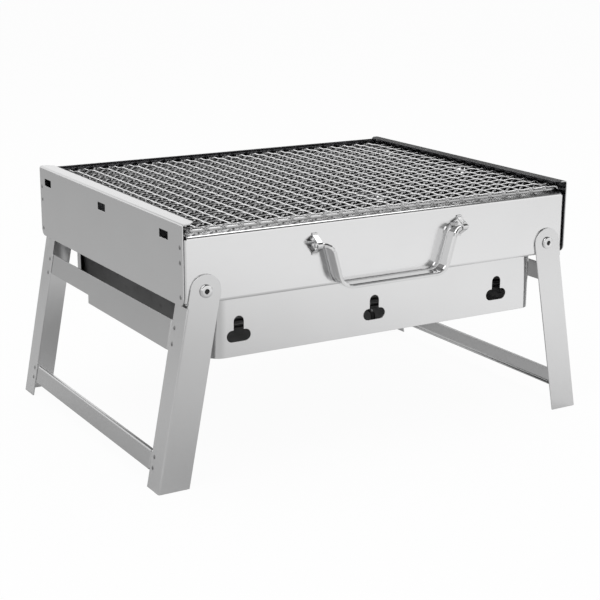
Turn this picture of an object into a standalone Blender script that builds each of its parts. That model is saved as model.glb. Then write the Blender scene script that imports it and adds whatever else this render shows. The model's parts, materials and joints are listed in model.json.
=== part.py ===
"""Folding camp grill: a sheet steel shell on two folding leg frames, with a drop-in firebox.

The shell is four bent panels.  The firebox hangs inside it on small lips and slides up
into the shell when the leg frames fold flat underneath.  The grill mesh slides out at the
front, under the flanges of the side panels.  Metres, +Z up, the front faces -Y.
"""
import math

import bmesh
import bpy
from mathutils import Matrix, Vector

# Shell
SHELL_WIDTH = 0.350
SHELL_DEPTH = 0.276
SHELL_BASE_Z = 0.138
SIDE_HEIGHT = 0.060
FRONT_HEIGHT = 0.0504
SHEET = 0.0008
PANEL_SET_BACK = 0.0012
SIDE_FLANGE = 0.0115
SIDE_BEND = 0.0016
SIDE_CORNER_RADIUS = 0.006
FLANGE_CLIP = 0.006
FRONT_LEDGE = 0.016
BACK_HEM = 0.004
PANEL_BEND = 0.0022
BOTTOM_LIP = 0.004
RETURN_LENGTH = 0.008
RETURN_BEND = 0.0030
FIT_GAP = 0.0003

# Windows in the side panels, with a tab bent inwards from each top edge
WINDOW_WIDTH = 0.0144
WINDOW_HEIGHT = 0.0062
WINDOW_TOP = 0.0506
WINDOW_PLACES = (-0.1075, 0.005, 0.120)
TAB_LENGTH = 0.0062

# Leg frames
PIVOT_INSET = 0.018
PIVOT_HEIGHT = 0.010
LEG_WIDTH = 0.0245
LEG_SHEET = 0.001
LEG_FLANGE = 0.020
LEG_BEND = 0.0015
LEG_SPLAY = math.radians(10.7)
LEG_FLANGE_START = 0.014
UPPER_RAIL_START = 0.0267
UPPER_RAIL_HEIGHT = 0.0226
UPPER_RAIL_NOTCH = 0.0063
UPPER_RAIL_NOTCH_PLACE = 0.030
LOWER_RAIL_START = 0.1253
LOWER_RAIL_HEIGHT = 0.0155
LOWER_RAIL_LIP = 0.003
RAIL_BEND = 0.0014
RAIL_TAB = 0.010
RAIL_JOGGLE = 0.002

# Pivot rivets
RIVET_SHANK_RADIUS = 0.0024
RIVET_HEAD_RADIUS = 0.0050
RIVET_HEAD_HEIGHT = 0.0017
RIVET_RECESS_RADIUS = 0.0016
RIVET_RECESS_DEPTH = 0.0009
RIVET_TAIL_RADIUS = 0.0040
RIVET_TAIL_HEIGHT = 0.0012

# Firebox
FIREBOX_WIDTH = 0.300
FIREBOX_SET_BACK = 0.0053
FIREBOX_DROP = 0.0448
FIREBOX_CORNER_RADIUS = 0.016
FIREBOX_END_BEND = 0.012
FIREBOX_LAP = 0.005
FIREBOX_LIP = 0.0033
PAN_BEND = 0.0135
PAN_TAPER = 0.003
PAN_LIP_GAP = 0.0025
VENT_PITCH = 0.119
VENT_OFFSET = -0.0082
VENT_TOP_DEPTH = 0.0140
VENT_HEIGHT = 0.0197
VENT_SLOT_WIDTH = 0.0084
VENT_BAR_WIDTH = 0.0200
VENT_BAR_HEIGHT = 0.0090

# Charcoal grate
GRATE_LEVEL = 0.028
GRATE_ROD_RADIUS = 0.0015
GRATE_ROD_PITCH = 0.016
GRATE_ROD_COUNT = 15
GRATE_END_GAP = 0.004
GRATE_CROSS_RADIUS = 0.0017
GRATE_CROSS_SINK = 0.0007
GRATE_CROSS_INSET = 0.010
GRATE_STAND_PITCH = 0.090
GRATE_STAND_REACH = 0.118
GRATE_STAND_BEND = 0.005

# Carrying handle
HANDLE_LEVEL = 0.034
HANDLE_STAND_OFF = 0.0068
HANDLE_SPAN = 0.113
HANDLE_FOOT_SPAN = 0.094
HANDLE_DROP = 0.0335
HANDLE_SHOULDER = 0.0064
HANDLE_TOP_BEND = 0.008
HANDLE_FOOT_BEND = 0.011
HANDLE_STRIP = 0.0102
HANDLE_STRIP_HEIGHT = 0.0030
HANDLE_WALL = 0.0010
HANDLE_NECK = 0.0042
HANDLE_PIN_RADIUS = 0.0017
HANDLE_PIN_OVERHANG = 0.0015
BRACKET_WIDTH = 0.0044
BRACKET_GAP = 0.0012
BRACKET_RISE = 0.0068
BRACKET_FOOT = 0.0015

# Grill mesh
MESH_FRAME_RADIUS = 0.0013
MESH_FRAME_CORNER = 0.006
MESH_SIDE_INSET = 0.0055
MESH_FRONT_INSET = 0.0053
MESH_PITCH = 0.019
MESH_WIRE = 0.0016
MESH_WIRE_OVERLAP = 0.0005

# Places worked out from the driving dimensions
SIDE_INNER_X = SHELL_WIDTH / 2 - SHEET
PANEL_FACE_Y = SHELL_DEPTH / 2 - PANEL_SET_BACK
BACK_HEIGHT = SIDE_HEIGHT - SHEET - FIT_GAP
LEG_FACE_Y = PANEL_FACE_Y + FIT_GAP + LEG_SHEET
LEG_HALF = LEG_WIDTH / 2
PIVOT_X = SHELL_WIDTH / 2 - PIVOT_INSET
PIVOT_Z = SHELL_BASE_Z + PIVOT_HEIGHT
FIREBOX_FACE_Y = PANEL_FACE_Y - FIREBOX_SET_BACK
FIREBOX_LIP_Z = SHEET + FIT_GAP
FIREBOX_TOP = FIREBOX_LIP_Z + SHEET
PAN_INSIDE = FIREBOX_WIDTH / 2 - SHEET - FIT_GAP
PAN_WALL_HALF = PAN_INSIDE - SHEET / 2
PAN_FLOOR_HALF = PAN_WALL_HALF - PAN_TAPER
PAN_LIP_END = SIDE_INNER_X - PAN_LIP_GAP
HANDLE_Y = -(PANEL_FACE_Y + HANDLE_STAND_OFF)
RIVET_FRONT_Y = LEG_FACE_Y + FIT_GAP + RIVET_HEAD_HEIGHT
MODEL_FRONT_Y = max(PANEL_FACE_Y + HANDLE_STAND_OFF + HANDLE_STRIP / 2, RIVET_FRONT_Y)
CENTRE_SHIFT_Y = (MODEL_FRONT_Y - max(RIVET_FRONT_Y, SHELL_DEPTH / 2)) / 2
ARC_STEPS = 4


def clear_scene():
    for item in list(bpy.data.objects):
        bpy.data.objects.remove(item, do_unlink=True)


def brushed_metal(name, grey, roughness):
    """A Principled steel of one grey."""
    material = bpy.data.materials.new(name)
    material.use_nodes = True
    shader = material.node_tree.nodes["Principled BSDF"]
    shader.inputs["Base Color"].default_value = (grey, grey, grey, 1.0)
    shader.inputs["Metallic"].default_value = 1.0
    shader.inputs["Roughness"].default_value = roughness
    return material


def object_from(mesh_builder):
    """Turn a bmesh into an object with its faces pointing out."""
    bmesh.ops.remove_doubles(mesh_builder, verts=mesh_builder.verts, dist=1e-7)
    bmesh.ops.recalc_face_normals(mesh_builder, faces=mesh_builder.faces)
    mesh = bpy.data.meshes.new("piece")
    mesh_builder.to_mesh(mesh)
    mesh_builder.free()
    item = bpy.data.objects.new("piece", mesh)
    bpy.context.scene.collection.objects.link(item)
    return item


def combine(target, tool, operation):
    """Apply one Boolean and remove the tool."""
    change = target.modifiers.new("combine", "BOOLEAN")
    change.operation = operation
    change.solver = "EXACT"
    change.object = tool
    graph = bpy.context.evaluated_depsgraph_get()
    mesh = bpy.data.meshes.new_from_object(target.evaluated_get(graph))
    target.modifiers.clear()
    target.data = mesh
    bpy.data.objects.remove(tool, do_unlink=True)
    return target


def finish(item, name, parent, material):
    """Name a piece, give it its parent and its metal, and shade its round faces smooth."""
    item.name = name
    item.data.name = name
    item.parent = parent
    item.data.materials.clear()
    item.data.materials.append(material)
    item.data.shade_smooth()
    item.data.set_sharp_from_angle(angle=math.radians(35))
    return item


def axis_empty(name, place, parent=None, turn=(0.0, 0.0, 0.0)):
    empty = bpy.data.objects.new(name, None)
    bpy.context.scene.collection.objects.link(empty)
    empty.location = place
    empty.rotation_euler = turn
    empty.parent = parent
    return empty


def rounded(points, radius, closed=False):
    """Replace the corners of a path with arcs; radius is one value or one for each corner."""
    points = [Vector(point) for point in points]
    count = len(points)
    corners = range(count) if closed else range(1, count - 1)
    path = [] if closed else [points[0]]
    for number, index in enumerate(corners):
        size = radius[number] if isinstance(radius, (list, tuple)) else radius
        corner = points[index]
        arriving = (points[index - 1] - corner).normalized()
        leaving = (points[(index + 1) % count] - corner).normalized()
        half_angle = arriving.angle(leaving) / 2
        centre = corner + (arriving + leaving).normalized() * (size / math.sin(half_angle))
        start = corner + arriving * (size / math.tan(half_angle)) - centre
        end = corner + leaving * (size / math.tan(half_angle)) - centre
        sweep = start.angle(end)
        for step in range(ARC_STEPS + 1):
            share = step / ARC_STEPS
            weight_start = math.sin((1 - share) * sweep) / math.sin(sweep)
            weight_end = math.sin(share * sweep) / math.sin(sweep)
            path.append(centre + start * weight_start + end * weight_end)
    return path if closed else path + [points[-1]]


def strip(path, thickness):
    """The closed outline of a sheet of even thickness along a flat path."""
    left = []
    right = []
    for index, point in enumerate(path):
        before = path[max(index - 1, 0)]
        after = path[min(index + 1, len(path) - 1)]
        first = (point - before).normalized() if index else (after - point).normalized()
        second = (after - point).normalized() if index < len(path) - 1 else first
        normal = Vector((-(first.y + second.y), first.x + second.x)).normalized()
        reach = thickness / 2 / max(normal.dot(Vector((-first.y, first.x))), 0.2)
        left.append(point + normal * reach)
        right.append(point - normal * reach)
    return left + right[::-1]


PLANES = {
    "XY": (Vector((1, 0, 0)), Vector((0, 1, 0)), Vector((0, 0, 1))),
    "XZ": (Vector((1, 0, 0)), Vector((0, 0, 1)), Vector((0, 1, 0))),
    "YZ": (Vector((0, 1, 0)), Vector((0, 0, 1)), Vector((1, 0, 0))),
}


def prism(outline, plane, low, high):
    """Extrude a flat outline from low to high, square to its plane."""
    across, along, through = PLANES[plane]
    builder = bmesh.new()
    near = [builder.verts.new(across * a + along * b + through * low) for a, b in outline]
    far = [builder.verts.new(across * a + along * b + through * high) for a, b in outline]
    builder.faces.new(near)
    builder.faces.new(far[::-1])
    for index in range(len(outline)):
        following = (index + 1) % len(outline)
        builder.faces.new((near[index], near[following], far[following], far[index]))
    return object_from(builder)


def block(low, high):
    """A box between two corners."""
    outline = [(low[0], low[1]), (high[0], low[1]), (high[0], high[1]), (low[0], high[1])]
    return prism(outline, "XY", low[2], high[2])


def arc_points(centre, radius, start, end, steps):
    points = []
    for step in range(steps + 1):
        angle = start + (end - start) * step / steps
        points.append((centre[0] + radius * math.cos(angle), centre[1] + radius * math.sin(angle)))
    return points


def drill(radius, place_x, place_z, low_y, high_y):
    """A round cutter along Y."""
    outline = arc_points((place_x, place_z), radius, 0.0, 2 * math.pi, 20)[:-1]
    return prism(outline, "XZ", low_y, high_y)


def corner_cutter(corner, radius, toward, plane, low, high):
    """What a rounded corner takes away: toward points from the corner into the piece."""
    centre = (corner[0] + toward[0] * radius, corner[1] + toward[1] * radius)
    spare = radius * 0.5
    outer = (corner[0] - toward[0] * spare, corner[1] - toward[1] * spare)
    outline = [(centre[0], outer[1]), outer, (outer[0], centre[1]), (corner[0], centre[1])]
    steps = 8
    for step in range(1, steps):
        angle = math.pi / 2 * step / steps
        outline.append((centre[0] - toward[0] * radius * math.cos(angle),
                        centre[1] - toward[1] * radius * math.sin(angle)))
    outline.append((centre[0], corner[1]))
    return prism(outline, plane, low, high)


def tube(path, radius, sides, closed=False):
    """A round wire along a path, with flat ends unless it is closed."""
    builder = bmesh.new()
    rings = []
    count = len(path)
    path = [Vector(point) for point in path]
    start_direction = path[1] - path[0]
    side = start_direction.orthogonal().normalized()
    for index, point in enumerate(path):
        if closed:
            direction = (path[(index + 1) % count] - path[index - 1]).normalized()
        else:
            direction = (path[min(index + 1, count - 1)] - path[max(index - 1, 0)]).normalized()
        side = (side - direction * side.dot(direction)).normalized()
        other = direction.cross(side)
        ring = []
        for step in range(sides):
            angle = 2 * math.pi * (step + 0.5) / sides
            ring.append(builder.verts.new(point + (side * math.cos(angle) + other * math.sin(angle)) * radius))
        rings.append(ring)
    for index in range(count if closed else count - 1):
        ring = rings[index]
        following = rings[(index + 1) % count]
        for step in range(sides):
            turn = (step + 1) % sides
            builder.faces.new((ring[step], ring[turn], following[turn], following[step]))
    if not closed:
        builder.faces.new(rings[0][::-1])
        builder.faces.new(rings[-1])
    return object_from(builder)


def lathe_y(profile, sides=24):
    """Turn a profile of (radius, y) points round the Y axis."""
    builder = bmesh.new()
    points = [builder.verts.new((radius, place, 0.0)) for radius, place in profile]
    edges = [builder.edges.new(pair) for pair in zip(points, points[1:])]
    bmesh.ops.spin(builder, geom=points + edges, cent=(0, 0, 0), axis=(0, 1, 0),
                   angle=2 * math.pi, steps=sides, use_merge=True)
    bmesh.ops.remove_doubles(builder, verts=builder.verts, dist=1e-7)
    return object_from(builder)


def end_panel(front):
    """A front or back wall: bottom lip, wall, top ledge or hem, and a rolled return at each end."""
    sign = -1 if front else 1
    middle = PANEL_FACE_Y - SHEET / 2
    height = FRONT_HEIGHT if front else BACK_HEIGHT
    reach = FRONT_LEDGE if front else BACK_HEM
    path = rounded([(sign * (PANEL_FACE_Y - BOTTOM_LIP), SHEET / 2), (sign * middle, SHEET / 2),
                    (sign * middle, height - SHEET / 2),
                    (sign * (PANEL_FACE_Y - reach), height - SHEET / 2)], PANEL_BEND)
    flat_end = SIDE_INNER_X - FIT_GAP - RETURN_BEND
    panel = prism(strip(path, SHEET), "YZ", -flat_end, flat_end)
    outer_x = SIDE_INNER_X - FIT_GAP - SHEET / 2
    overlap = SHEET / 4
    for side in (-1, 1):
        corner = rounded([(side * (flat_end - overlap), sign * middle), (side * outer_x, sign * middle),
                          (side * outer_x, sign * (PANEL_FACE_Y - RETURN_LENGTH))], RETURN_BEND - SHEET)
        wrap = prism(strip(corner, SHEET), "XY", PANEL_BEND, height - PANEL_BEND)
        panel = combine(panel, wrap, "UNION")
        hole = drill(RIVET_SHANK_RADIUS + FIT_GAP, side * PIVOT_X, PIVOT_HEIGHT,
                     sign * middle - SHEET, sign * middle + SHEET)
        panel = combine(panel, hole, "DIFFERENCE")
    return panel


def side_panel(side):
    """A side wall with a flange along its top and three lanced tabs that carry the mesh."""
    middle = side * (SHELL_WIDTH / 2 - SHEET / 2)
    path = rounded([(middle, 0.0), (middle, SIDE_HEIGHT - SHEET / 2),
                    (side * (SHELL_WIDTH / 2 - SIDE_FLANGE), SIDE_HEIGHT - SHEET / 2)], SIDE_BEND)
    half_depth = SHELL_DEPTH / 2
    panel = prism(strip(path, SHEET), "XZ", -half_depth, half_depth)
    wall = sorted((side * (SHELL_WIDTH / 2 + SHEET), side * (SIDE_INNER_X - SHEET)))
    for end in (-1, 1):
        panel = combine(panel, corner_cutter((end * half_depth, 0.0), SIDE_CORNER_RADIUS, (-end, 1),
                                             "YZ", wall[0], wall[1]), "DIFFERENCE")
        inner = side * (SHELL_WIDTH / 2 - SIDE_FLANGE)
        clip = [(inner - side * SHEET, end * (half_depth + SHEET)),
                (inner + side * FLANGE_CLIP, end * (half_depth + SHEET)),
                (inner - side * SHEET, end * (half_depth - FLANGE_CLIP))]
        panel = combine(panel, prism(clip, "XY", SIDE_HEIGHT - 3 * SHEET, SIDE_HEIGHT + SHEET), "DIFFERENCE")
    for place in WINDOW_PLACES:
        low = place - WINDOW_WIDTH / 2
        high = place + WINDOW_WIDTH / 2
        opening = block((wall[0], low, WINDOW_TOP - WINDOW_HEIGHT), (wall[1], high, WINDOW_TOP))
        panel = combine(panel, opening, "DIFFERENCE")
        tab = sorted((middle, side * (SIDE_INNER_X - TAB_LENGTH)))
        shelf = block((tab[0], low + FIT_GAP, WINDOW_TOP), (tab[1], high - FIT_GAP, WINDOW_TOP + SHEET))
        panel = combine(panel, shelf, "UNION")
    return panel


def pivot_rivet(sign):
    """A pop rivet through a leg and its panel, modelled on the Y axis."""
    seat = LEG_FACE_Y + FIT_GAP
    crown = seat + RIVET_HEAD_HEIGHT
    tail = PANEL_FACE_Y - SHEET - FIT_GAP
    profile = [(0.0, crown - RIVET_RECESS_DEPTH), (RIVET_RECESS_RADIUS, crown - RIVET_RECESS_DEPTH),
               (RIVET_RECESS_RADIUS * 1.25, crown)]
    for step in range(1, 5):
        angle = math.pi / 2 * step / 4
        flat = RIVET_RECESS_RADIUS * 1.6
        profile.append((flat + (RIVET_HEAD_RADIUS - flat) * math.sin(angle),
                        seat + RIVET_HEAD_HEIGHT * (0.25 + 0.75 * math.cos(angle))))
    profile += [(RIVET_HEAD_RADIUS, seat), (RIVET_SHANK_RADIUS, seat), (RIVET_SHANK_RADIUS, tail),
                (RIVET_TAIL_RADIUS, tail), (RIVET_TAIL_RADIUS, tail - RIVET_TAIL_HEIGHT / 2),
                (RIVET_SHANK_RADIUS, tail - RIVET_TAIL_HEIGHT), (0.0, tail - RIVET_TAIL_HEIGHT)]
    return lathe_y([(radius, sign * place) for radius, place in profile], 20)


def leg(sign):
    """An L-section leg hanging from its pivot at the origin, with its outer side at -X."""
    middle = sign * (LEG_FACE_Y - LEG_SHEET / 2)
    outer = -LEG_HALF + LEG_SHEET / 2
    path = rounded([(LEG_HALF, middle), (outer, middle),
                    (outer, sign * (LEG_FACE_Y - LEG_FLANGE))], LEG_BEND - LEG_SHEET / 2)
    reach = (PIVOT_Z + LEG_WIDTH) / math.cos(LEG_SPLAY)
    shape = prism(strip(path, LEG_SHEET), "XY", -reach, -LEG_FLANGE_START)
    faces = sorted((middle - LEG_SHEET / 2, middle + LEG_SHEET / 2))
    overlap = LEG_SHEET / 5
    outline = arc_points((0.0, 0.0), LEG_HALF, 0.0, math.pi, 14)
    outline += [(-LEG_HALF, -LEG_FLANGE_START - overlap), (LEG_HALF, -LEG_FLANGE_START - overlap)]
    shape = combine(shape, prism(outline, "XZ", faces[0], faces[1]), "UNION")
    hole = drill(RIVET_SHANK_RADIUS + FIT_GAP, 0.0, 0.0, middle - LEG_SHEET, middle + LEG_SHEET)
    shape = combine(shape, hole, "DIFFERENCE")
    floor = block((-reach, -SHELL_DEPTH, -2 * reach), (reach, SHELL_DEPTH, 0.0))
    floor.matrix_world = Matrix.Rotation(-LEG_SPLAY, 4, "Y") @ Matrix.Translation((0, 0, -PIVOT_Z))
    bpy.context.view_layer.update()
    return combine(shape, floor, "DIFFERENCE")


def rail_plan(web_end):
    """The plan of a rail: its web lies flush with the leg flanges, its ends step in behind them."""
    flange_edge = LEG_FACE_Y - LEG_FLANGE
    web = -LEG_HALF + SHEET / 2
    tab = -LEG_HALF + LEG_SHEET + FIT_GAP + SHEET / 2
    step_end = flange_edge - FIT_GAP - SHEET
    step_start = step_end - RAIL_JOGGLE
    end = flange_edge + RAIL_TAB
    if web_end:
        return [Vector((web, -step_start)), Vector((tab, -step_end)), Vector((tab, -end))]
    points = [(tab, -end), (tab, -step_end), (web, -step_start),
              (web, step_start), (tab, step_end), (tab, end)]
    return [Vector(point) for point in points]


def upper_rail():
    """A flat rail below the pivots; behind its middle the lower edge is cut back."""
    top = -UPPER_RAIL_START
    bottom = top - UPPER_RAIL_HEIGHT
    rail = prism(strip(rail_plan(False), SHEET), "XY", bottom, top)
    high = bottom + UPPER_RAIL_NOTCH
    slant = UPPER_RAIL_NOTCH / 2
    outline = [(UPPER_RAIL_NOTCH_PLACE, bottom - SHEET), (UPPER_RAIL_NOTCH_PLACE + slant, high),
               (SHELL_DEPTH, high), (SHELL_DEPTH, bottom - SHEET)]
    return combine(rail, prism(outline, "YZ", -LEG_WIDTH, 0.0), "DIFFERENCE")


def lower_rail():
    """A shallow channel near the feet, its lips turned inwards."""
    top = -LOWER_RAIL_START
    bottom = top - LOWER_RAIL_HEIGHT
    web = -LEG_HALF + SHEET / 2
    lip = -LEG_HALF + LOWER_RAIL_LIP
    section = rounded([(lip, top - SHEET / 2), (web, top - SHEET / 2),
                       (web, bottom + SHEET / 2), (lip, bottom + SHEET / 2)], RAIL_BEND - SHEET / 2)
    step_start = LEG_FACE_Y - LEG_FLANGE - FIT_GAP - SHEET - RAIL_JOGGLE
    rail = prism(strip(section, SHEET), "XZ", -step_start, step_start)
    overlap = SHEET / 4
    for sign in (-1, 1):
        plan = [Vector((point.x, point.y * -sign)) for point in rail_plan(True)]
        plan.insert(0, Vector((plan[0].x, plan[0].y - sign * overlap)))
        end = prism(strip(plan, SHEET), "XY", bottom + RAIL_BEND, top - RAIL_BEND)
        rail = combine(rail, end, "UNION")
    return rail


def vent_outline(place):
    """A keyhole vent: a narrow slot with a round top over a wide rounded bar."""
    bottom = -VENT_TOP_DEPTH - VENT_HEIGHT
    bar = VENT_BAR_HEIGHT / 2
    slot = VENT_SLOT_WIDTH / 2
    reach = VENT_BAR_WIDTH / 2 - bar
    outline = arc_points((place + reach, bottom + bar), bar, -math.pi / 2, math.pi / 2, 6)
    outline += arc_points((place, -VENT_TOP_DEPTH - slot), slot, 0.0, math.pi, 8)
    outline[7:7] = [(place + slot, bottom + VENT_BAR_HEIGHT)]
    outline += [(place - slot, bottom + VENT_BAR_HEIGHT)]
    outline += arc_points((place - reach, bottom + bar), bar, math.pi / 2, 3 * math.pi / 2, 6)
    return outline


def firebox_plate(sign):
    """The front or back wall of the firebox: rounded ends, three vents and a lip to hang by."""
    middle = sign * (FIREBOX_FACE_Y - SHEET / 2)
    half = FIREBOX_WIDTH / 2
    lap_end = sign * (FIREBOX_FACE_Y - FIREBOX_END_BEND - FIREBOX_LAP)
    plan = rounded([(-half + SHEET / 2, lap_end), (-half + SHEET / 2, middle),
                    (half - SHEET / 2, middle), (half - SHEET / 2, lap_end)],
                   FIREBOX_END_BEND - SHEET / 2)
    plate = prism(strip(plan, SHEET), "XY", -FIREBOX_DROP, FIREBOX_TOP - SHEET / 2)
    faces = sorted((sign * (FIREBOX_FACE_Y + SHEET), sign * (FIREBOX_FACE_Y - 4 * FIREBOX_END_BEND)))
    for side in (-1, 1):
        cutter = corner_cutter((side * half, -FIREBOX_DROP), FIREBOX_CORNER_RADIUS, (-side, 1),
                               "XZ", faces[0], faces[1])
        plate = combine(plate, cutter, "DIFFERENCE")
    for number in (-1, 0, 1):
        vent = prism(vent_outline(VENT_OFFSET + number * VENT_PITCH), "XZ", faces[0], faces[1])
        plate = combine(plate, vent, "DIFFERENCE")
    edge = sorted((middle, sign * (FIREBOX_FACE_Y + FIREBOX_LIP)))
    flat = half - FIREBOX_END_BEND
    lip = block((-flat, edge[0], FIREBOX_LIP_Z), (flat, edge[1], FIREBOX_TOP))
    return combine(plate, lip, "UNION")


def firebox_pan():
    """The floor, the two ends and the side shelves of the firebox, bent from one sheet.

    It fits inside the rounded ends of the plates, and its shelves pass between them.
    """
    floor = -FIREBOX_DROP + FIT_GAP + SHEET / 2
    lip = FIREBOX_LIP_Z + SHEET / 2
    path = rounded([(-PAN_LIP_END, lip), (-PAN_WALL_HALF, lip), (-PAN_FLOOR_HALF, floor),
                    (PAN_FLOOR_HALF, floor), (PAN_WALL_HALF, lip), (PAN_LIP_END, lip)],
                   [PANEL_BEND, PAN_BEND, PAN_BEND, PANEL_BEND])
    reach = FIREBOX_FACE_Y - SHEET - FIT_GAP
    pan = prism(strip(path, SHEET), "XZ", -reach, reach)
    shelf_end = FIREBOX_FACE_Y - FIREBOX_END_BEND - FIREBOX_LAP - FIT_GAP
    corner_radius = FIREBOX_END_BEND - SHEET - FIT_GAP
    for side in (-1, 1):
        for sign in (-1, 1):
            corner = corner_cutter((side * PAN_INSIDE, sign * reach), corner_radius, (-side, -sign),
                                   "XY", -SHELL_BASE_Z, SIDE_HEIGHT)
            pan = combine(pan, corner, "DIFFERENCE")
            low_x, high_x = sorted((side * PAN_INSIDE, side * SHELL_WIDTH))
            low_y, high_y = sorted((sign * shelf_end, sign * SHELL_DEPTH))
            notch = block((low_x, low_y, -SHELL_BASE_Z), (high_x, high_y, SIDE_HEIGHT))
            pan = combine(pan, notch, "DIFFERENCE")
    return pan


def charcoal_grate():
    """A flat grille: rods along X, let into two cross wires below them."""
    level = -GRATE_LEVEL
    reach = PAN_FLOOR_HALF - GRATE_END_GAP
    last_place = (GRATE_ROD_COUNT - 1) / 2 * GRATE_ROD_PITCH
    rods = None
    for number in range(GRATE_ROD_COUNT):
        place = number * GRATE_ROD_PITCH - last_place
        rod = tube([(-reach, place, level), (reach, place, level)], GRATE_ROD_RADIUS, 8)
        rods = rod if rods is None else join_apart(rods, rod)
    cross_level = level - GRATE_ROD_RADIUS - GRATE_CROSS_RADIUS + GRATE_CROSS_SINK
    cross_reach = last_place + 2 * GRATE_ROD_RADIUS
    wires = None
    for side in (-1, 1):
        place = side * (reach - GRATE_CROSS_INSET)
        wire = tube([(place, -cross_reach, cross_level), (place, cross_reach, cross_level)],
                    GRATE_CROSS_RADIUS, 8)
        wires = wire if wires is None else join_apart(wires, wire)
    return combine(rods, wires, "UNION")


def grate_stand(number):
    """A bent wire under the grate that stands on the pan."""
    place = number * GRATE_STAND_PITCH
    top = -GRATE_LEVEL - GRATE_ROD_RADIUS - FIT_GAP - GRATE_CROSS_RADIUS
    floor = -FIREBOX_DROP + 2 * FIT_GAP + SHEET
    path = rounded([(place, -GRATE_STAND_REACH, floor), (place, -GRATE_STAND_REACH, top),
                    (place, GRATE_STAND_REACH, top), (place, GRATE_STAND_REACH, floor)], GRATE_STAND_BEND)
    return tube(path, GRATE_CROSS_RADIUS, 8)


def join_apart(first, second):
    """Put two solids that do not meet into one mesh."""
    builder = bmesh.new()
    builder.from_mesh(first.data)
    builder.from_mesh(second.data)
    bpy.data.objects.remove(first, do_unlink=True)
    bpy.data.objects.remove(second, do_unlink=True)
    return object_from(builder)


def handle_section(width):
    """A channel section: across the strip, then out from the middle of the bail."""
    half = width / 2
    deep = HANDLE_STRIP_HEIGHT
    soft = min(deep * 0.45, half * 0.45)
    inner = half - min(HANDLE_WALL, half * 0.6)
    floor = -deep / 2 + HANDLE_WALL
    return [(-half, deep / 2), (-half, -deep / 2 + soft), (-half + soft * 0.4, -deep / 2 + soft * 0.3),
            (-half + soft, -deep / 2), (half - soft, -deep / 2), (half - soft * 0.4, -deep / 2 + soft * 0.3),
            (half, -deep / 2 + soft), (half, deep / 2), (inner, deep / 2), (inner, floor),
            (-inner, floor), (-inner, deep / 2)]


def pin_section():
    """The round section of a pin, with as many points as the channel and in the same order."""
    turns = (140, 180, 215, 250, 290, 325, 0, 40, 60, 80, 100, 120)
    return [(HANDLE_PIN_RADIUS * math.cos(math.radians(turn)), HANDLE_PIN_RADIUS * math.sin(math.radians(turn)))
            for turn in turns]


def carry_handle():
    """A pressed channel bail, drawn in to a pin at each end; its origin is on the pin line."""
    top = HANDLE_SPAN / 2
    foot = HANDLE_FOOT_SPAN / 2
    start = top + HANDLE_SHOULDER
    tip = start + BRACKET_GAP + BRACKET_WIDTH + HANDLE_PIN_OVERHANG
    path = rounded([(-start, 0.0), (-top, 0.0), (-foot, -HANDLE_DROP), (foot, -HANDLE_DROP),
                    (top, 0.0), (start, 0.0)],
                   [HANDLE_TOP_BEND, HANDLE_FOOT_BEND, HANDLE_FOOT_BEND, HANDLE_TOP_BEND])
    count = len(path)
    builder = bmesh.new()

    def add_ring(point, direction, section):
        outward = Vector((direction.y, -direction.x))
        ring = []
        for across, out in section:
            spot = point + outward * out
            ring.append(builder.verts.new((spot.x, across, spot.y)))
        return ring

    level = Vector((1.0, 0.0))
    pin_start = start + BRACKET_GAP / 2
    rings = [add_ring(Vector((-tip, 0.0)), level, pin_section()),
             add_ring(Vector((-pin_start, 0.0)), level, pin_section())]
    for index, point in enumerate(path):
        direction = (path[min(index + 1, count - 1)] - path[max(index - 1, 0)]).normalized()
        from_end = min(index, count - 1 - index)
        share = min(from_end / (ARC_STEPS + 1), 1.0)
        width = HANDLE_NECK + (HANDLE_STRIP - HANDLE_NECK) * share * share * (3 - 2 * share)
        rings.append(add_ring(point, direction, handle_section(width)))
    rings.append(add_ring(Vector((pin_start, 0.0)), level, pin_section()))
    rings.append(add_ring(Vector((tip, 0.0)), level, pin_section()))
    size = len(rings[0])
    for near, far in zip(rings, rings[1:]):
        for step in range(size):
            turn = (step + 1) % size
            builder.faces.new((near[step], near[turn], far[turn], far[step]))
    builder.faces.new(rings[0][::-1])
    builder.faces.new(rings[-1])
    return object_from(builder)


def handle_bracket(side):
    """A strap bent over the handle's pin, with a foot above and below, welded to the front panel."""
    foot_y = -PANEL_FACE_Y - FIT_GAP - SHEET / 2
    bore = HANDLE_PIN_RADIUS + FIT_GAP
    bend = bore + SHEET / 2
    top = HANDLE_LEVEL + BRACKET_RISE
    bottom = HANDLE_LEVEL - BRACKET_RISE
    reach = foot_y - HANDLE_Y
    slope = math.atan2(BRACKET_RISE, reach)
    apex = HANDLE_Y - bend / math.sin(slope)
    for _ in range(6):
        slope = math.atan2(BRACKET_RISE, foot_y - apex)
        apex = HANDLE_Y - bend / math.sin(slope)
    path = rounded([(foot_y, top + BRACKET_FOOT), (foot_y, top), (apex, HANDLE_LEVEL),
                    (foot_y, bottom), (foot_y, bottom - BRACKET_FOOT)], [SHEET, bend, SHEET])
    near = side * (HANDLE_SPAN / 2 + HANDLE_SHOULDER + BRACKET_GAP)
    far = near + side * BRACKET_WIDTH
    low, high = sorted((near, far))
    return prism(strip(path, SHEET), "YZ", low, high)


def mesh_reach():
    """Half sizes of the mesh frame's wire line, and its height over the shell's base."""
    half_x = SHELL_WIDTH / 2 - MESH_SIDE_INSET
    half_y = PANEL_FACE_Y - MESH_FRONT_INSET
    level = WINDOW_TOP + SHEET + FIT_GAP + MESH_FRAME_RADIUS
    return half_x, half_y, level


def grill_frame():
    half_x, half_y, level = mesh_reach()
    path = rounded([(-half_x, -half_y, level), (half_x, -half_y, level),
                    (half_x, half_y, level), (-half_x, half_y, level)], MESH_FRAME_CORNER, closed=True)
    return tube(path, MESH_FRAME_RADIUS, 10, closed=True)


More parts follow.
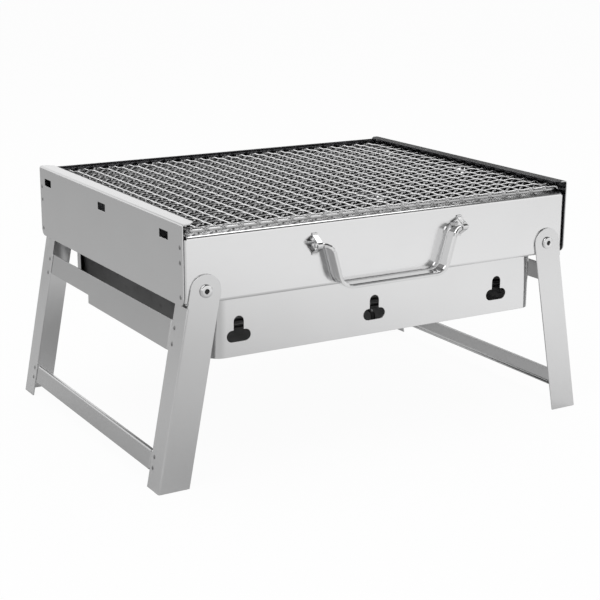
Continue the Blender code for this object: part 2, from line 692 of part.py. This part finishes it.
def diagonal_span(offset, half_x, half_y):
    """How much of a diagonal at this offset from the middle lies inside the mesh."""
    shift = abs(offset) * math.sqrt(2)
    low = max(-half_x, shift - half_y)
    high = min(half_x, shift + half_y)
    return max(high - low, 0.0) * math.sqrt(2)


def grill_mesh():
    """Diagonal wires in two layers that sink into each other where they cross.

    A wire across a corner that is too short to meet the other layer is left out.
    """
    half_x, half_y, level = mesh_reach()
    half_x -= MESH_FRAME_RADIUS + FIT_GAP
    half_y -= MESH_FRAME_RADIUS + FIT_GAP
    diagonal = (half_x + half_y) / math.sqrt(2)
    count = int(diagonal / MESH_PITCH)
    layers = []
    for turn, low in ((1, level - MESH_WIRE + MESH_WIRE_OVERLAP / 2), (-1, level - MESH_WIRE_OVERLAP / 2)):
        layer = None
        for number in range(-count, count + 1):
            place = number * MESH_PITCH
            if diagonal_span(place, half_x, half_y) < 1.5 * MESH_PITCH:
                continue
            bar = block((place - MESH_WIRE / 2, -2 * diagonal, low),
                        (place + MESH_WIRE / 2, 2 * diagonal, low + MESH_WIRE))
            bar.data.transform(Matrix.Rotation(turn * math.pi / 4, 4, "Z"))
            layer = bar if layer is None else join_apart(layer, bar)
        layers.append(layer)
    lattice = combine(layers[0], layers[1], "UNION")
    corner = MESH_FRAME_CORNER - MESH_FRAME_RADIUS - FIT_GAP
    outline = rounded([(-half_x, -half_y), (half_x, -half_y), (half_x, half_y), (-half_x, half_y)],
                      corner, closed=True)
    bounds = prism(outline, "XY", level - 3 * MESH_WIRE, level + 3 * MESH_WIRE)
    return combine(lattice, bounds, "INTERSECT")


def build():
    clear_scene()
    satin = brushed_metal("satin_steel", 0.62, 0.28)
    bright = brushed_metal("bright_steel", 0.70, 0.18)
    wire = brushed_metal("wire_steel", 0.58, 0.30)
    dark = brushed_metal("pan_steel", 0.50, 0.38)
    base = axis_empty("shell_base", (0.0, CENTRE_SHIFT_Y, SHELL_BASE_Z))

    finish(end_panel(True), "front_panel", base, satin)
    finish(end_panel(False), "back_panel", base, satin)
    finish(side_panel(-1), "left_panel", base, satin)
    finish(side_panel(1), "right_panel", base, satin)

    for side, side_name, turn in ((-1, "left", 0.0), (1, "right", math.pi)):
        pivot = axis_empty(side_name + "_fold_axis", (side * PIVOT_X, 0.0, PIVOT_HEIGHT), base,
                           (0.0, LEG_SPLAY, turn))
        for sign in (-1, 1):
            leg_end = "front" if sign * -side < 0 else "back"
            finish(leg(sign), side_name + "_" + leg_end + "_leg", pivot, satin)
        finish(upper_rail(), side_name + "_upper_rail", pivot, satin)
        finish(lower_rail(), side_name + "_lower_rail", pivot, satin)
        for sign, end_name in ((-1, "front"), (1, "back")):
            rivet = finish(pivot_rivet(sign), end_name + "_" + side_name + "_pivot_rivet", base, bright)
            rivet.location = (side * PIVOT_X, 0.0, PIVOT_HEIGHT)

    finish(firebox_plate(-1), "firebox_front_plate", base, satin)
    finish(firebox_plate(1), "firebox_back_plate", base, satin)
    finish(firebox_pan(), "firebox_pan", base, dark)
    finish(charcoal_grate(), "charcoal_grate", base, wire)
    for number, place_name in ((-1, "left"), (0, "middle"), (1, "right")):
        finish(grate_stand(number), "grate_stand_" + place_name, base, wire)

    handle_axis = axis_empty("handle_axis", (0.0, HANDLE_Y, HANDLE_LEVEL), base)
    finish(carry_handle(), "carry_handle", handle_axis, bright)
    finish(handle_bracket(-1), "handle_bracket_left", base, bright)
    finish(handle_bracket(1), "handle_bracket_right", base, bright)

    finish(grill_frame(), "grill_frame", base, wire)
    finish(grill_mesh(), "grill_mesh", base, wire)


build()
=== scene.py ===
import json
import math

import bmesh
import bpy
from mathutils import Matrix, Vector

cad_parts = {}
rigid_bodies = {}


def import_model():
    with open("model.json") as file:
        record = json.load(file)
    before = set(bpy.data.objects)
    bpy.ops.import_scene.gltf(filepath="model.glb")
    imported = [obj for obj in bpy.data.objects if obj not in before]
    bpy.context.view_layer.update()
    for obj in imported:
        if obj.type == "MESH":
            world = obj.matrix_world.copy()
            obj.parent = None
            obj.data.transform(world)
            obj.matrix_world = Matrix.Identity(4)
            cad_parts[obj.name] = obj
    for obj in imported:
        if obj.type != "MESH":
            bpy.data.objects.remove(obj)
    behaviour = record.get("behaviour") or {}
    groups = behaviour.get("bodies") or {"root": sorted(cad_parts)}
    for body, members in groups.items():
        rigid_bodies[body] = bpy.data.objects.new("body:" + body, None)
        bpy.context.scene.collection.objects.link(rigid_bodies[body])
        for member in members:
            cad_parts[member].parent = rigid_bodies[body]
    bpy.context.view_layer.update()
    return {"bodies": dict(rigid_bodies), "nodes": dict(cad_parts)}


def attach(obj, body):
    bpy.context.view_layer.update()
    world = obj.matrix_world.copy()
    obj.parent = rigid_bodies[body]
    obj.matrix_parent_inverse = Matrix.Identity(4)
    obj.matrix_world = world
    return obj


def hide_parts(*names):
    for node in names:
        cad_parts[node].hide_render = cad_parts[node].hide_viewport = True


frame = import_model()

NODES = frame["nodes"]
kept = set(NODES.values()) | set(frame["bodies"].values())
for item in list(bpy.data.objects):
    if item not in kept:
        bpy.data.objects.remove(item, do_unlink=True)

# Sizes shared with the part, in metres
CENTRE_Y = 0.0043
BASE_Z = 0.138
SHELL_HALF_X = 0.175
FIT_GAP = 0.0003
PIVOT_X = 0.157
PIVOT_Z = 0.148
SPLAY = math.radians(10.7)
LEG_HALF = 0.01225
FRAME_WIRE = 0.0013
MESH_LEVEL = BASE_Z + 0.0530
MESH_HALF_X = 0.1695
MESH_HALF_Y = 0.1315

# Pop rivets: the floor of the recess in the head, and its radius
RIVET_FLOOR_Y = 0.1394
RIVET_BORE = 0.00155

# Firebox plates, as in the part but with square lower corners
SHEET = 0.0008
PLATE_HALF = 0.150
PLATE_FACE = 0.1315
PLATE_BEND = 0.012
PLATE_LAP = 0.005
PLATE_LIP = 0.0033
PLATE_STEPS = 10
FIREBOX_DROP = 0.0448
VENT_PITCH = 0.119
VENT_OFFSET = -0.0082
VENT_TOP = -0.0140
VENT_HEIGHT = 0.0197
VENT_SLOT = 0.0084
VENT_BAR = 0.0200
VENT_BAR_HEIGHT = 0.0090

# Woven mesh
WIRE_RADIUS = 0.00085
WIRE_SPACING = 0.00993
WEAVE_SHIFT = (0.0014, 0.0070)
CRIMP = 0.00105
WIRE_SIDES = 8
SHORTEST_WIRE = 0.012
WEAVE_MARGIN = 0.003

# Spot welds: places, and the pressed ring as (radius, lift) steps from its middle
SHELL_WELD_Y = 0.1338
SHELL_WELD_HEIGHTS = (0.0066, 0.0317, 0.0428)
LEG_WELD_Y = 0.1225
LEG_WELD_DEPTHS = (0.0315, 0.0435, 0.1288, 0.1372)
WELD_RING = ((0.0, 0.00002), (0.0007, 0.00003), (0.0011, 0.00010), (0.0014, 0.00010), (0.0017, 0.0))
WELD_SIDES = 16

# Light: what the floor, the ceiling and the doorway show in the metal
FLOOR_REACH = 14.0
FLOOR_LEVEL = -0.0002
FLOOR_SLOPE = (1.0, -0.37, 0.0)
FLOOR_FALLOFF = (-0.1, 0.6, 0.57, 1.0)
FLOOR_GLOW = 0.4
FLOOR_LIFT = 0.96
CEILING_FALLOFF = (0.34, 0.70, 1.0, 0.08)
WORLD_LIGHT = 0.5
DARK_AZIMUTH = 37.0
DARK_ELEVATION = 10.5
DARK_INNER = 6.5
DARK_OUTER = 10.0
DARK_LEVEL = 0.08

# Camera, as the photograph was taken: angles in degrees, focal length and width in pixels
CAMERA_AZIMUTH = -30.874
CAMERA_ELEVATION = 15.203
CAMERA_ROLL = 0.317
CAMERA_SPOT = (-0.5962, -1.0030 + CENTRE_Y, 0.2668 + BASE_Z)
FOCAL_PIXELS = 1408.8
PHOTO_PIXELS = 600.0
SENSOR_WIDTH = 36.0


def link(mesh_builder, name):
    mesh = bpy.data.meshes.new(name)
    bmesh.ops.recalc_face_normals(mesh_builder, faces=mesh_builder.faces)
    mesh_builder.to_mesh(mesh)
    mesh_builder.free()
    item = bpy.data.objects.new(name, mesh)
    bpy.context.scene.collection.objects.link(item)
    return item


def dress(item, material):
    item.data.materials.clear()
    item.data.materials.append(material)
    return item


# Materials

def new_material(name):
    material = bpy.data.materials.new(name)
    material.use_nodes = True
    nodes = material.node_tree.nodes
    return material, nodes, material.node_tree.links, nodes["Principled BSDF"]


def add_noise(nodes, links, source, scale, stretch, detail=3.0):
    mapping = nodes.new("ShaderNodeMapping")
    mapping.inputs["Scale"].default_value = stretch
    noise = nodes.new("ShaderNodeTexNoise")
    noise.inputs["Scale"].default_value = scale
    noise.inputs["Detail"].default_value = detail
    links.new(source, mapping.inputs["Vector"])
    links.new(mapping.outputs["Vector"], noise.inputs["Vector"])
    return noise.outputs["Fac"]


def remap(nodes, links, source, low, high, from_low=0.3, from_high=0.7):
    ramp = nodes.new("ShaderNodeMapRange")
    ramp.inputs["From Min"].default_value = from_low
    ramp.inputs["From Max"].default_value = from_high
    ramp.inputs["To Min"].default_value = low
    ramp.inputs["To Max"].default_value = high
    links.new(source, ramp.inputs["Value"])
    return ramp.outputs["Result"]


def paint_inside_shade(nodes, links, colour, direction):
    """Darken the faces that look along a direction, the inside, with painted shade."""
    facing = nodes.new("ShaderNodeVectorMath")
    facing.operation = "DOT_PRODUCT"
    facing.inputs[1].default_value = direction
    links.new(nodes.new("ShaderNodeTexCoord").outputs["Normal"], facing.inputs[0])
    shaded = nodes.new("ShaderNodeMix")
    shaded.data_type = "RGBA"
    shaded.blend_type = "MULTIPLY"
    shaded.inputs["B"].default_value = PAINTED_INSIDE_SHADE
    links.new(remap(nodes, links, facing.outputs["Value"], 0.0, 1.0, 0.4, 0.6), shaded.inputs["Factor"])
    links.new(colour, shaded.inputs["A"])
    return shaded.outputs["Result"]


def steel(name, tone, rough, grain, smudge=0.05, bump=0.05, edge=0.0004, inside=None):
    """Rolled stainless sheet: fine grain lines, handling smudges and soft bright edges."""
    material, nodes, links, shader = new_material(name)
    place = nodes.new("ShaderNodeTexCoord").outputs["Object"]
    lines = add_noise(nodes, links, place, 1.0, grain, 2.0)
    cloud = add_noise(nodes, links, place, 22.0, (1.0, 1.0, 1.0), 4.0)
    blot = add_noise(nodes, links, place, 140.0, (1.0, 1.0, 1.0), 5.0)
    shade = nodes.new("ShaderNodeMix")
    shade.data_type = "RGBA"
    dark = tone * (1.0 - smudge)
    shade.inputs["A"].default_value = (dark, dark, dark * 1.004, 1.0)
    shade.inputs["B"].default_value = (tone, tone, tone * 1.003, 1.0)
    both = nodes.new("ShaderNodeMath")
    both.operation = "MULTIPLY_ADD"
    both.inputs[1].default_value = 0.5
    links.new(lines, both.inputs[0])
    links.new(remap(nodes, links, cloud, 0.0, 0.5), both.inputs[2])
    links.new(both.outputs["Value"], shade.inputs["Factor"])
    colour = shade.outputs["Result"]
    # With inside given, painted shade darkens the inner faces.
    if inside:
        colour = paint_inside_shade(nodes, links, colour, inside)
    links.new(colour, shader.inputs["Base Color"])
    shader.inputs["Metallic"].default_value = 1.0
    spread = nodes.new("ShaderNodeMath")
    spread.operation = "ADD"
    links.new(remap(nodes, links, cloud, rough * 0.85, rough * 1.1), spread.inputs[0])
    links.new(remap(nodes, links, blot, 0.0, rough * 0.25, 0.55, 0.75), spread.inputs[1])
    links.new(spread.outputs["Value"], shader.inputs["Roughness"])
    corner = nodes.new("ShaderNodeBevel")
    corner.samples = 4
    corner.inputs["Radius"].default_value = edge
    relief = nodes.new("ShaderNodeBump")
    relief.inputs["Strength"].default_value = bump
    relief.inputs["Distance"].default_value = 0.0002
    links.new(lines, relief.inputs["Height"])
    links.new(corner.outputs["Normal"], relief.inputs["Normal"])
    links.new(relief.outputs["Normal"], shader.inputs["Normal"])
    return material


ALONG_X = (30.0, 1500.0, 1500.0)
ALONG_Y = (1500.0, 30.0, 1500.0)
ALONG_Z = (1500.0, 1500.0, 30.0)
# Tone multiplied into the inner faces: painted shade.
PAINTED_INSIDE_SHADE = (0.22, 0.22, 0.23, 1.0)
# One steel in lit and shaded copies: the higher front and back tones carry painted light, the lower side tone
# painted shade.
panel_steels = {
    "front_panel": steel("front_panel_steel", 0.84, 0.17, ALONG_X, inside=(0.0, 1.0, 0.0)),
    "back_panel": steel("back_panel_steel", 0.80, 0.17, ALONG_X, inside=(0.0, -1.0, 0.0)),
    "left_panel": steel("left_panel_shaded_steel", 0.70, 0.17, ALONG_Y, inside=(1.0, 0.0, 0.0)),
    "right_panel": steel("right_panel_shaded_steel", 0.70, 0.17, ALONG_Y, inside=(-1.0, 0.0, 0.0)),
}
plate_steels = {
    "firebox_front_plate": steel("front_plate_steel", 0.80, 0.14, ALONG_X, inside=(0.0, 1.0, 0.0)),
    "firebox_back_plate": steel("back_plate_steel", 0.80, 0.14, ALONG_X, inside=(0.0, -1.0, 0.0)),
}
leg_steel = steel("leg_steel", 0.76, 0.20, ALONG_Z)
rail_steel = steel("rail_steel", 0.64, 0.18, ALONG_Y)
# Near-black pan and dark grate: painted shade for the dark inside of the firebox.
pan_steel = steel("firebox_pan_steel", 0.13, 0.42, ALONG_X, 0.3, 0.1)
grate_steel = steel("charcoal_grate_steel", 0.20, 0.34, ALONG_X, 0.3, 0.1, 0.0002)
wire_steel = steel("mesh_wire_steel", 0.56, 0.24, (300.0, 300.0, 300.0), 0.12, 0.05, 0.0001)
rivet_steel = steel("rivet_steel", 0.78, 0.14, (600.0, 600.0, 600.0), 0.05, 0.03, 0.0002)
handle_steel = steel("handle_steel", 0.72, 0.12, ALONG_X, 0.06, 0.03, 0.0003)
weld_steel = steel("spot_weld_steel", 0.34, 0.34, (900.0, 900.0, 900.0), 0.2, 0.1, 0.0002)
# Near-black discs in the rivet bores: painted shade.
bore_shade = steel("rivet_bore_painted_shade", 0.05, 0.55, (900.0, 900.0, 900.0), 0.2, 0.1, 0.0002)

for name, node in NODES.items():
    if name in panel_steels:
        dress(node, panel_steels[name])
    elif name in plate_steels:
        dress(node, plate_steels[name])
    elif name.endswith("_leg"):
        dress(node, leg_steel)
    elif name.endswith("_rail"):
        dress(node, rail_steel)
    elif name == "firebox_pan":
        dress(node, pan_steel)
    elif name == "charcoal_grate" or name.startswith("grate_stand"):
        dress(node, grate_steel)
    elif name.endswith("_rivet"):
        dress(node, rivet_steel)
    elif name == "carry_handle" or name.startswith("handle_bracket"):
        dress(node, handle_steel)
    else:
        dress(node, wire_steel)


# The woven grill mesh

def clip_line(offset, turn):
    """Where a diagonal at this offset enters and leaves the mesh frame, as distances along it."""
    direction = Vector((math.cos(turn), math.sin(turn)))
    across = Vector((-direction.y, direction.x))
    middle = across * offset + Vector(WEAVE_SHIFT)
    low = -1.0
    high = 1.0
    for limit, point, slope in ((MESH_HALF_X, middle.x, direction.x),
                                (MESH_HALF_Y, middle.y, direction.y)):
        first = (-limit - point) / slope
        second = (limit - point) / slope
        low = max(low, min(first, second))
        high = min(high, max(first, second))
    return middle, direction, low, high


def woven_mesh():
    """Crimped diagonal wires, each over and under the others, with its ends laid over the frame."""
    builder = bmesh.new()
    reach = (MESH_HALF_X + MESH_HALF_Y) / math.sqrt(2)
    count = int(reach / WIRE_SPACING)
    over_frame = FRAME_WIRE + WIRE_RADIUS
    for family, turn in ((0, math.pi / 4), (1, -math.pi / 4)):
        for number in range(-count, count + 1):
            middle, direction, low, high = clip_line(number * WIRE_SPACING, turn)
            if high - low < SHORTEST_WIRE:
                continue
            stops = []
            quarter = WIRE_SPACING / 4
            first = math.ceil((low + WEAVE_MARGIN) / quarter)
            last = math.floor((high - WEAVE_MARGIN) / quarter)
            for step in range(first, last + 1):
                phase = math.pi * step / 4 + math.pi * (number + family)
                stops.append((step * quarter, CRIMP * math.cos(phase)))
            ends = [(low - over_frame * 0.95, 0.0), (low - over_frame * 0.5, over_frame * 0.87),
                    (low + over_frame * 0.5, over_frame * 0.87)]
            stops = ends + stops + [(high + (low - place), lift) for place, lift in reversed(ends)]
            points = []
            for place, lift in stops:
                spot = middle + direction * place
                points.append(Vector((spot.x, spot.y + CENTRE_Y, MESH_LEVEL + lift)))
            rings = []
            side = Vector((-direction.y, direction.x, 0.0))
            for index, point in enumerate(points):
                along = points[min(index + 1, len(points) - 1)] - points[max(index - 1, 0)]
                upward = along.cross(side).normalized()
                ring = []
                for corner in range(WIRE_SIDES):
                    angle = 2 * math.pi * corner / WIRE_SIDES
                    ring.append(builder.verts.new(point + (side * math.cos(angle)
                                                           + upward * math.sin(angle)) * WIRE_RADIUS))
                rings.append(ring)
            for near, far in zip(rings, rings[1:]):
                for corner in range(WIRE_SIDES):
                    turn_to = (corner + 1) % WIRE_SIDES
                    builder.faces.new((near[corner], near[turn_to], far[turn_to], far[corner]))
            builder.faces.new(rings[0])
            builder.faces.new(rings[-1])
    mesh = link(builder, "woven_mesh")
    mesh.data.shade_smooth()
    return mesh


weave = dress(woven_mesh(), wire_steel)
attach(weave, "grill")
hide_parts("grill_mesh")


# The firebox plates with the square lower corners of the real ones

def plate_plan(sign, lift):
    """One side of the sheet in plan: the face, a rounded edge at each end and the lap behind it."""
    half = PLATE_HALF - lift
    face = PLATE_FACE - lift
    turn = PLATE_BEND - lift
    lap_end = PLATE_FACE - PLATE_BEND - PLATE_LAP
    points = [(half, lap_end)]
    for step in range(PLATE_STEPS + 1):
        angle = math.pi / 2 * step / PLATE_STEPS
        points.append((half - turn + turn * math.cos(angle), face - turn + turn * math.sin(angle)))
    points += [(-x, y) for x, y in reversed(points)]
    return [(x, sign * y) for x, y in points]


def solid(outline, place, low, high):
    """Extrude a flat outline; place turns a flat point and a height into a spot in space."""
    builder = bmesh.new()
    near = [builder.verts.new(place(a, b, low)) for a, b in outline]
    far = [builder.verts.new(place(a, b, high)) for a, b in outline]
    builder.faces.new(near)
    builder.faces.new(far[::-1])
    for index in range(len(outline)):
        following = (index + 1) % len(outline)
        builder.faces.new((near[index], near[following], far[following], far[index]))
    return link(builder, "solid")


def combine(target, tool, operation):
    change = target.modifiers.new("combine", "BOOLEAN")
    change.operation = operation
    change.solver = "EXACT"
    change.object = tool
    graph = bpy.context.evaluated_depsgraph_get()
    mesh = bpy.data.meshes.new_from_object(target.evaluated_get(graph))
    target.modifiers.clear()
    target.data = mesh
    bpy.data.objects.remove(tool, do_unlink=True)
    return target


def arc(centre, radius, start, end, steps):
    turns = [start + (end - start) * step / steps for step in range(steps + 1)]
    return [(centre[0] + radius * math.cos(turn), centre[1] + radius * math.sin(turn)) for turn in turns]


def vent_outline(place):
    """A keyhole: a slot with a round top over a wide rounded bar."""
    bottom = VENT_TOP - VENT_HEIGHT
    bar = VENT_BAR_HEIGHT / 2
    slot = VENT_SLOT / 2
    reach = VENT_BAR / 2 - bar
    outline = arc((place + reach, bottom + bar), bar, -math.pi / 2, math.pi / 2, 10)
    outline.append((place + slot, bottom + VENT_BAR_HEIGHT))
    outline += arc((place, VENT_TOP - slot), slot, 0.0, math.pi, 12)
    outline.append((place - slot, bottom + VENT_BAR_HEIGHT))
    return outline + arc((place - reach, bottom + bar), bar, math.pi / 2, 3 * math.pi / 2, 10)


def firebox_plate(name, sign):
    """A bent plate with three keyhole vents and a lip along its top."""
    outline = plate_plan(sign, 0.0) + plate_plan(sign, SHEET)[::-1]
    lip_low = SHEET + FIT_GAP
    plate = solid(outline, lambda x, y, z: (x, y + CENTRE_Y, BASE_Z + z), -FIREBOX_DROP, lip_low + SHEET / 2)
    near, far = sorted((sign * (PLATE_FACE + SHEET), sign * (PLATE_FACE - 3 * SHEET)))
    for number in (-1, 0, 1):
        vent = solid(vent_outline(VENT_OFFSET + number * VENT_PITCH),
                     lambda x, z, y: (x, y + CENTRE_Y, BASE_Z + z), near, far)
        plate = combine(plate, vent, "DIFFERENCE")
    flat = PLATE_HALF - PLATE_BEND
    inner, outer = sorted((sign * (PLATE_FACE - SHEET / 2), sign * (PLATE_FACE + PLATE_LIP)))
    lip = solid([(-flat, inner), (flat, inner), (flat, outer), (-flat, outer)],
                lambda x, y, z: (x, y + CENTRE_Y, BASE_Z + z), lip_low, lip_low + SHEET)
    plate = combine(plate, lip, "UNION")
    plate.name = name + "_sheet"
    plate.data.shade_smooth()
    plate.data.set_sharp_from_angle(angle=math.radians(35))
    dress(plate, plate_steels[name])
    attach(plate, "firebox")
    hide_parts(name)


for name, sign in (("firebox_front_plate", -1), ("firebox_back_plate", 1)):
    firebox_plate(name, sign)


# Spot welds: shallow pressed rings

def weld_marks(name, places, body):
    """places holds (point, normal) pairs in the row frame."""
    builder = bmesh.new()
    turns = [2 * math.pi * step / WELD_SIDES for step in range(WELD_SIDES)]
    for point, normal in places:
        normal = Vector(normal).normalized()
        side = normal.orthogonal().normalized()
        other = normal.cross(side)
        centre = builder.verts.new(Vector(point) + normal * WELD_RING[0][1])
        rings = []
        for radius, lift in WELD_RING[1:]:
            level = Vector(point) + normal * lift
            rings.append([builder.verts.new(level + (side * math.cos(turn) + other * math.sin(turn)) * radius)
                          for turn in turns])
        for step in range(WELD_SIDES):
            following = (step + 1) % WELD_SIDES
            builder.faces.new((centre, rings[0][step], rings[0][following]))
            for near, far in zip(rings, rings[1:]):
                builder.faces.new((near[step], far[step], far[following], near[following]))
        builder.faces.new(rings[-1][::-1])
    marks = dress(link(builder, name), weld_steel)
    marks.data.shade_smooth()
    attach(marks, body)


shell_welds = []
for side in (-1, 1):
    for end in (-1, 1):
        for height in SHELL_WELD_HEIGHTS:
            spot = (side * SHELL_HALF_X, end * SHELL_WELD_Y + CENTRE_Y, BASE_Z + height)
            shell_welds.append((spot, (side, 0, 0)))
weld_marks("shell_spot_welds", shell_welds, "shell")
for side, body in ((-1, "left_leg_frame"), (1, "right_leg_frame")):
    turn = Matrix.Rotation(-side * SPLAY, 3, "Y")
    welds = []
    for end in (-1, 1):
        for depth in LEG_WELD_DEPTHS:
            local = Vector((side * LEG_HALF, end * LEG_WELD_Y, -depth))
            spot = turn @ local + Vector((side * PIVOT_X, CENTRE_Y, PIVOT_Z))
            welds.append((spot, turn @ Vector((side, 0, 0))))
    weld_marks(body + "_spot_welds", welds, body)


# The bores of the pop rivets: near-black discs on the recess floor, painted shade for the hollow

def rivet_bores():
    builder = bmesh.new()
    for side in (-1, 1):
        for end in (-1, 1):
            face = Matrix.Translation((side * PIVOT_X, end * RIVET_FLOOR_Y + CENTRE_Y, PIVOT_Z))
            face = face @ Matrix.Rotation(math.pi / 2, 4, "X")
            bmesh.ops.create_cone(builder, cap_ends=True, segments=20, radius1=RIVET_BORE, radius2=RIVET_BORE,
                                  depth=RIVET_BORE / 6, matrix=face)
    bores = dress(link(builder, "rivet_bores"), bore_shade)
    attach(bores, "shell")


rivet_bores()


# Studio

def plane(name, corners, material):
    builder = bmesh.new()
    builder.faces.new([builder.verts.new(corner) for corner in corners])
    item = dress(link(builder, name), material)
    return item


def seen_by(nodes, links, *rays):
    """1 for the kinds of ray that are named, 0 for the rest."""
    light_path = nodes.new("ShaderNodeLightPath")
    total = light_path.outputs[rays[0]]
    for ray in rays[1:]:
        join = nodes.new("ShaderNodeMath")
        join.operation = "MAXIMUM"
        links.new(total, join.inputs[0])
        links.new(light_path.outputs[ray], join.inputs[1])
        total = join.outputs["Value"]
    return total


def smooth_range(nodes, links, source, from_low, from_high, low, high):
    ramp = nodes.new("ShaderNodeMapRange")
    ramp.interpolation_type = "SMOOTHSTEP"
    ramp.inputs["From Min"].default_value = from_low
    ramp.inputs["From Max"].default_value = from_high
    ramp.inputs["To Min"].default_value = low
    ramp.inputs["To Max"].default_value = high
    links.new(source, ramp.inputs["Value"])
    return ramp.outputs["Result"]


def along(nodes, links, source, direction):
    """How far a vector reaches along a direction."""
    dot = nodes.new("ShaderNodeVectorMath")
    dot.operation = "DOT_PRODUCT"
    dot.inputs[1].default_value = direction
    links.new(source, dot.inputs[0])
    return dot.outputs["Value"]


def studio_floor():
    """A white floor with a pale shadow; towards the left it falls off, which only the metal shows."""
    material = bpy.data.materials.new("studio_floor")
    material.use_nodes = True
    nodes = material.node_tree.nodes
    links = material.node_tree.links
    nodes.clear()
    place = nodes.new("ShaderNodeTexCoord").outputs["Object"]
    falloff = smooth_range(nodes, links, along(nodes, links, place, FLOOR_SLOPE), *FLOOR_FALLOFF)
    matt = nodes.new("ShaderNodeBsdfDiffuse")
    links.new(falloff, matt.inputs["Color"])
    glow = nodes.new("ShaderNodeEmission")
    links.new(falloff, glow.inputs["Color"])
    lit = nodes.new("ShaderNodeMixShader")
    lit.inputs["Fac"].default_value = FLOOR_GLOW
    links.new(matt.outputs["BSDF"], lit.inputs[1])
    links.new(glow.outputs["Emission"], lit.inputs[2])
    plain = nodes.new("ShaderNodeBsdfDiffuse")
    plain.inputs["Color"].default_value = (0.85, 0.85, 0.85, 1.0)
    white = nodes.new("ShaderNodeEmission")
    lift = nodes.new("ShaderNodeMixShader")
    lift.inputs["Fac"].default_value = FLOOR_LIFT
    links.new(plain.outputs["BSDF"], lift.inputs[1])
    links.new(white.outputs["Emission"], lift.inputs[2])
    mirrored = nodes.new("ShaderNodeMixShader")
    links.new(seen_by(nodes, links, "Is Glossy Ray", "Is Transmission Ray"), mirrored.inputs["Fac"])
    links.new(plain.outputs["BSDF"], mirrored.inputs[1])
    links.new(lit.outputs["Shader"], mirrored.inputs[2])
    final = nodes.new("ShaderNodeMixShader")
    links.new(seen_by(nodes, links, "Is Camera Ray"), final.inputs["Fac"])
    links.new(mirrored.outputs["Shader"], final.inputs[1])
    links.new(lift.outputs["Shader"], final.inputs[2])
    out = nodes.new("ShaderNodeOutputMaterial")
    links.new(final.outputs["Shader"], out.inputs["Surface"])
    corners = [(x * FLOOR_REACH, y * FLOOR_REACH, FLOOR_LEVEL)
               for x, y in ((-1, -1), (1, -1), (1, 1), (-1, 1))]
    plane("studio_floor", corners, material)


def studio_world():
    """White all round; the metal also shows a dark ceiling and a dark doorway behind on the right."""
    world = bpy.data.worlds.new("studio_world")
    bpy.context.scene.world = world
    world.use_nodes = True
    nodes = world.node_tree.nodes
    links = world.node_tree.links
    sky = nodes["Background"]
    direction = nodes.new("ShaderNodeTexCoord").outputs["Generated"]
    turn = math.radians(DARK_AZIMUTH)
    rise = math.radians(DARK_ELEVATION)
    toward = (math.sin(turn) * math.cos(rise), math.cos(turn) * math.cos(rise), math.sin(rise))
    outer = math.cos(math.radians(DARK_OUTER))
    inner = math.cos(math.radians(DARK_INNER))
    doorway = smooth_range(nodes, links, along(nodes, links, direction, toward),
                           outer, inner, 1.0, DARK_LEVEL)
    ceiling = smooth_range(nodes, links, along(nodes, links, direction, (0.0, 0.0, 1.0)), *CEILING_FALLOFF)
    both = nodes.new("ShaderNodeMath")
    both.operation = "MULTIPLY"
    links.new(doorway, both.inputs[0])
    links.new(ceiling, both.inputs[1])
    glossy = both.outputs["Value"]
    shown = nodes.new("ShaderNodeMix")
    shown.inputs["A"].default_value = WORLD_LIGHT
    shown.inputs["B"].default_value = 1.0
    links.new(seen_by(nodes, links, "Is Camera Ray", "Is Transmission Ray"), shown.inputs["Factor"])
    strength = nodes.new("ShaderNodeMix")
    links.new(seen_by(nodes, links, "Is Glossy Ray"), strength.inputs["Factor"])
    links.new(shown.outputs["Result"], strength.inputs["A"])
    links.new(glossy, strength.inputs["B"])
    links.new(strength.outputs["Result"], sky.inputs["Strength"])
    sky.inputs["Color"].default_value = (1.0, 1.0, 1.0, 1.0)


studio_floor()
studio_world()


def lamp(name, place, aim, size, power):
    data = bpy.data.lights.new(name, "AREA")
    data.shape = "RECTANGLE"
    data.size, data.size_y = size
    data.energy = power
    item = bpy.data.objects.new(name, data)
    bpy.context.scene.collection.objects.link(item)
    item.location = place
    item.rotation_euler = (Vector(aim) - Vector(place)).to_track_quat("-Z", "Y").to_euler()
    return item


lamp("key_softbox", (-0.9, -0.6, 2.0), (0.0, 0.0, 0.1), (1.4, 1.4), 16.0)
lamp("top_softbox", (0.6, 0.5, 2.2), (0.0, 0.0, 0.1), (1.6, 1.2), 13.0)

# Camera
azimuth = math.radians(CAMERA_AZIMUTH)
elevation = math.radians(CAMERA_ELEVATION)
roll = math.radians(CAMERA_ROLL)
back = Vector((math.sin(azimuth) * math.cos(elevation), -math.cos(azimuth) * math.cos(elevation),
               math.sin(elevation)))
right = Vector((math.cos(azimuth), math.sin(azimuth), 0.0))
up = back.cross(right)
right, up = right * math.cos(roll) + up * math.sin(roll), up * math.cos(roll) - right * math.sin(roll)
camera_data = bpy.data.cameras.new("photo_camera")
camera_data.sensor_fit = "HORIZONTAL"
camera_data.sensor_width = SENSOR_WIDTH
camera_data.lens = FOCAL_PIXELS / PHOTO_PIXELS * SENSOR_WIDTH
camera_data.clip_end = 60.0
camera = bpy.data.objects.new("photo_camera", camera_data)
bpy.context.scene.collection.objects.link(camera)
spot = Vector(CAMERA_SPOT)
camera.matrix_world = Matrix(((right.x, up.x, back.x, spot.x), (right.y, up.y, back.y, spot.y),
                              (right.z, up.z, back.z, spot.z), (0.0, 0.0, 0.0, 1.0)))
bpy.context.scene.camera = camera
bpy.context.scene.view_settings.view_transform = "Standard"
